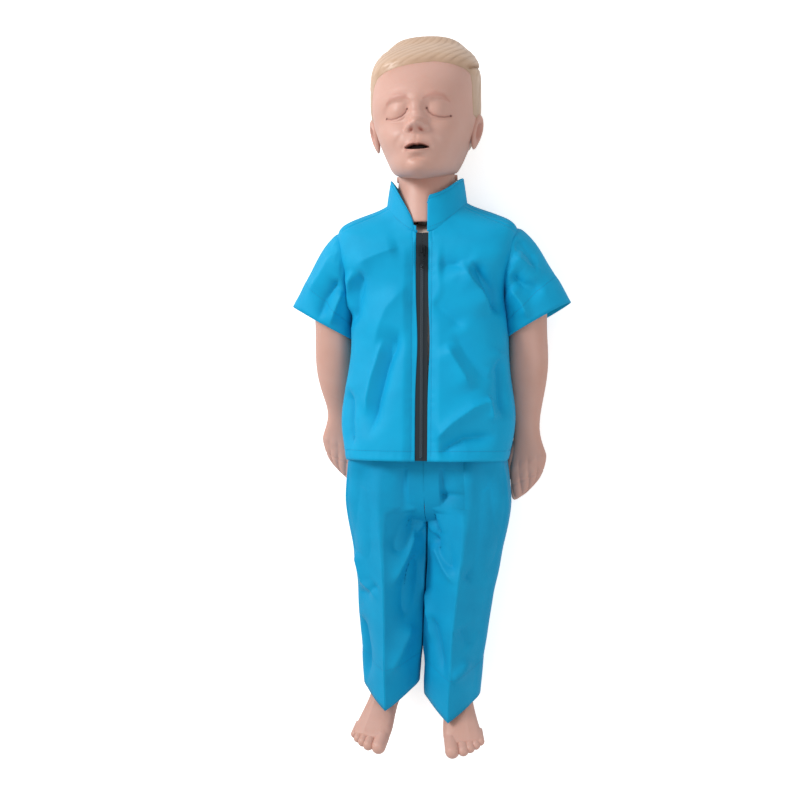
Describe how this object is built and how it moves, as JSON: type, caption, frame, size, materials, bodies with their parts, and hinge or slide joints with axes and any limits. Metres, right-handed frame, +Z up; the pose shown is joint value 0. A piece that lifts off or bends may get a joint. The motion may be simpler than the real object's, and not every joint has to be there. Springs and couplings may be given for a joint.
{
  "type": "cpr training manikin",
  "caption": "Child-sized resuscitation manikin lying on its back, with a zipped short-sleeved jacket, trousers, jointed neck and limbs and a sprung chest.",
  "frame": {"origin": "on the floor, on the middle line under the small of the back, on the flat lowest face of the jacket", "axes": "+Y towards the crown of the head, +Z up out of the chest, +X towards the manikin's left"},
  "size_m": [0.384, 0.9509, 0.1911],
  "materials": {
    "vinyl_skin": "soft matt vinyl",
    "face_vinyl": "soft matt vinyl",
    "hair_plastic": "painted matt",
    "jacket_cloth": "poly-cotton twill",
    "trouser_cloth": "poly-cotton twill",
    "shell_plastic": "blow moulded",
    "frame_plastic": "moulded",
    "steel": "zinc plated",
    "chest_foam": "soft skinned foam",
    "zip_nylon": "woven tape and nylon coil",
    "zip_metal": "black lacquer",
    "airway_hose": "clear hose",
    "lung_film": "thin film bag",
    "mouth_lining": "soft dark red"
  },
  "bodies": {
    "trunk": {"trunk_front_shell": "shell_plastic", "trunk_back_shell": "shell_plastic", "trunk_screws": "steel", "hip_shaft": "steel", "shoulder_bush_left": "frame_plastic", "shoulder_bush_right": "frame_plastic", "shoulder_bolt_left": "steel", "shoulder_bolt_right": "steel", "piston_guide": "frame_plastic", "base_plate": "frame_plastic", "return_spring": "steel", "trousers_seat": "trouser_cloth", "jacket_body": "jacket_cloth", "jacket_collar": "jacket_cloth", "zip_tape_left": "zip_nylon", "zip_tape_right": "zip_nylon", "zip_teeth": "zip_nylon", "neck_shaft": "frame_plastic", "airway_trunk": "airway_hose", "lung_bag": "lung_film"},
    "neck": {"neck": "vinyl_skin", "airway_neck": "airway_hose"},
    "head": {"face_skin": "face_vinyl", "hair_shell": "hair_plastic", "skull_frame": "frame_plastic", "airway_head": "airway_hose", "mouth_cup": "mouth_lining", "head_pivot_pins": "steel"},
    "arm_left": {"arm_left": "vinyl_skin", "sleeve_left": "jacket_cloth"},
    "arm_right": {"arm_right": "vinyl_skin", "sleeve_right": "jacket_cloth"},
    "leg_left": {"leg_left": "vinyl_skin", "trouser_leg_left": "trouser_cloth"},
    "leg_right": {"leg_right": "vinyl_skin", "trouser_leg_right": "trouser_cloth"},
    "chest_plate": {"chest_skin": "chest_foam", "sternum_plate": "frame_plastic", "piston_rod": "steel"},
    "zip_slider": {"zip_slider": "zip_metal"},
    "zip_pull": {"zip_pull": "zip_metal"}
  },
  "joints": [
    {"name": "neck_turn", "type": "hinge", "parent": "trunk", "child": "neck", "pos_m": [0, 0.27, 0.071], "axis": [0, 1, 0], "range_deg": [-30, 30]},
    {"name": "head_tilt", "type": "hinge", "parent": "neck", "child": "head", "pos_m": [0, 0.3, 0.071], "axis": [-1, 0, 0], "range_deg": [-5, 20]},
    {"name": "shoulder_left", "type": "hinge", "parent": "trunk", "child": "arm_left", "pos_m": [0.1115, 0.191, 0.062], "axis": [-0.9836, 0.1805, 0], "range_deg": [0, 160]},
    {"name": "shoulder_right", "type": "hinge", "parent": "trunk", "child": "arm_right", "pos_m": [-0.1115, 0.191, 0.062], "axis": [-0.9836, -0.1805, 0], "range_deg": [0, 160]},
    {"name": "hip_left", "type": "hinge", "parent": "trunk", "child": "leg_left", "pos_m": [0.062, -0.138, 0.055], "axis": [-1, 0, 0], "range_deg": [0, 85]},
    {"name": "hip_right", "type": "hinge", "parent": "trunk", "child": "leg_right", "pos_m": [-0.062, -0.138, 0.055], "axis": [-1, 0, 0], "range_deg": [0, 85]},
    {"name": "chest_press", "type": "slide", "parent": "trunk", "child": "chest_plate", "axis": [0, 0, -1], "range_m": [0, 0.038], "stiffness_N_per_m": 4500, "springref_m": -0.003, "deforming": ["return_spring"]},
    {"name": "zip_run", "type": "slide", "parent": "trunk", "child": "zip_slider", "axis": [0, -0.9992, 0.0406], "range_m": [0, 0.26]},
    {"name": "zip_pull_lift", "type": "hinge", "parent": "zip_slider", "child": "zip_pull", "pos_m": [0, 0.19673, 0.12409], "axis": [-1, 0, 0], "range_deg": [0, 120]}
  ]
}
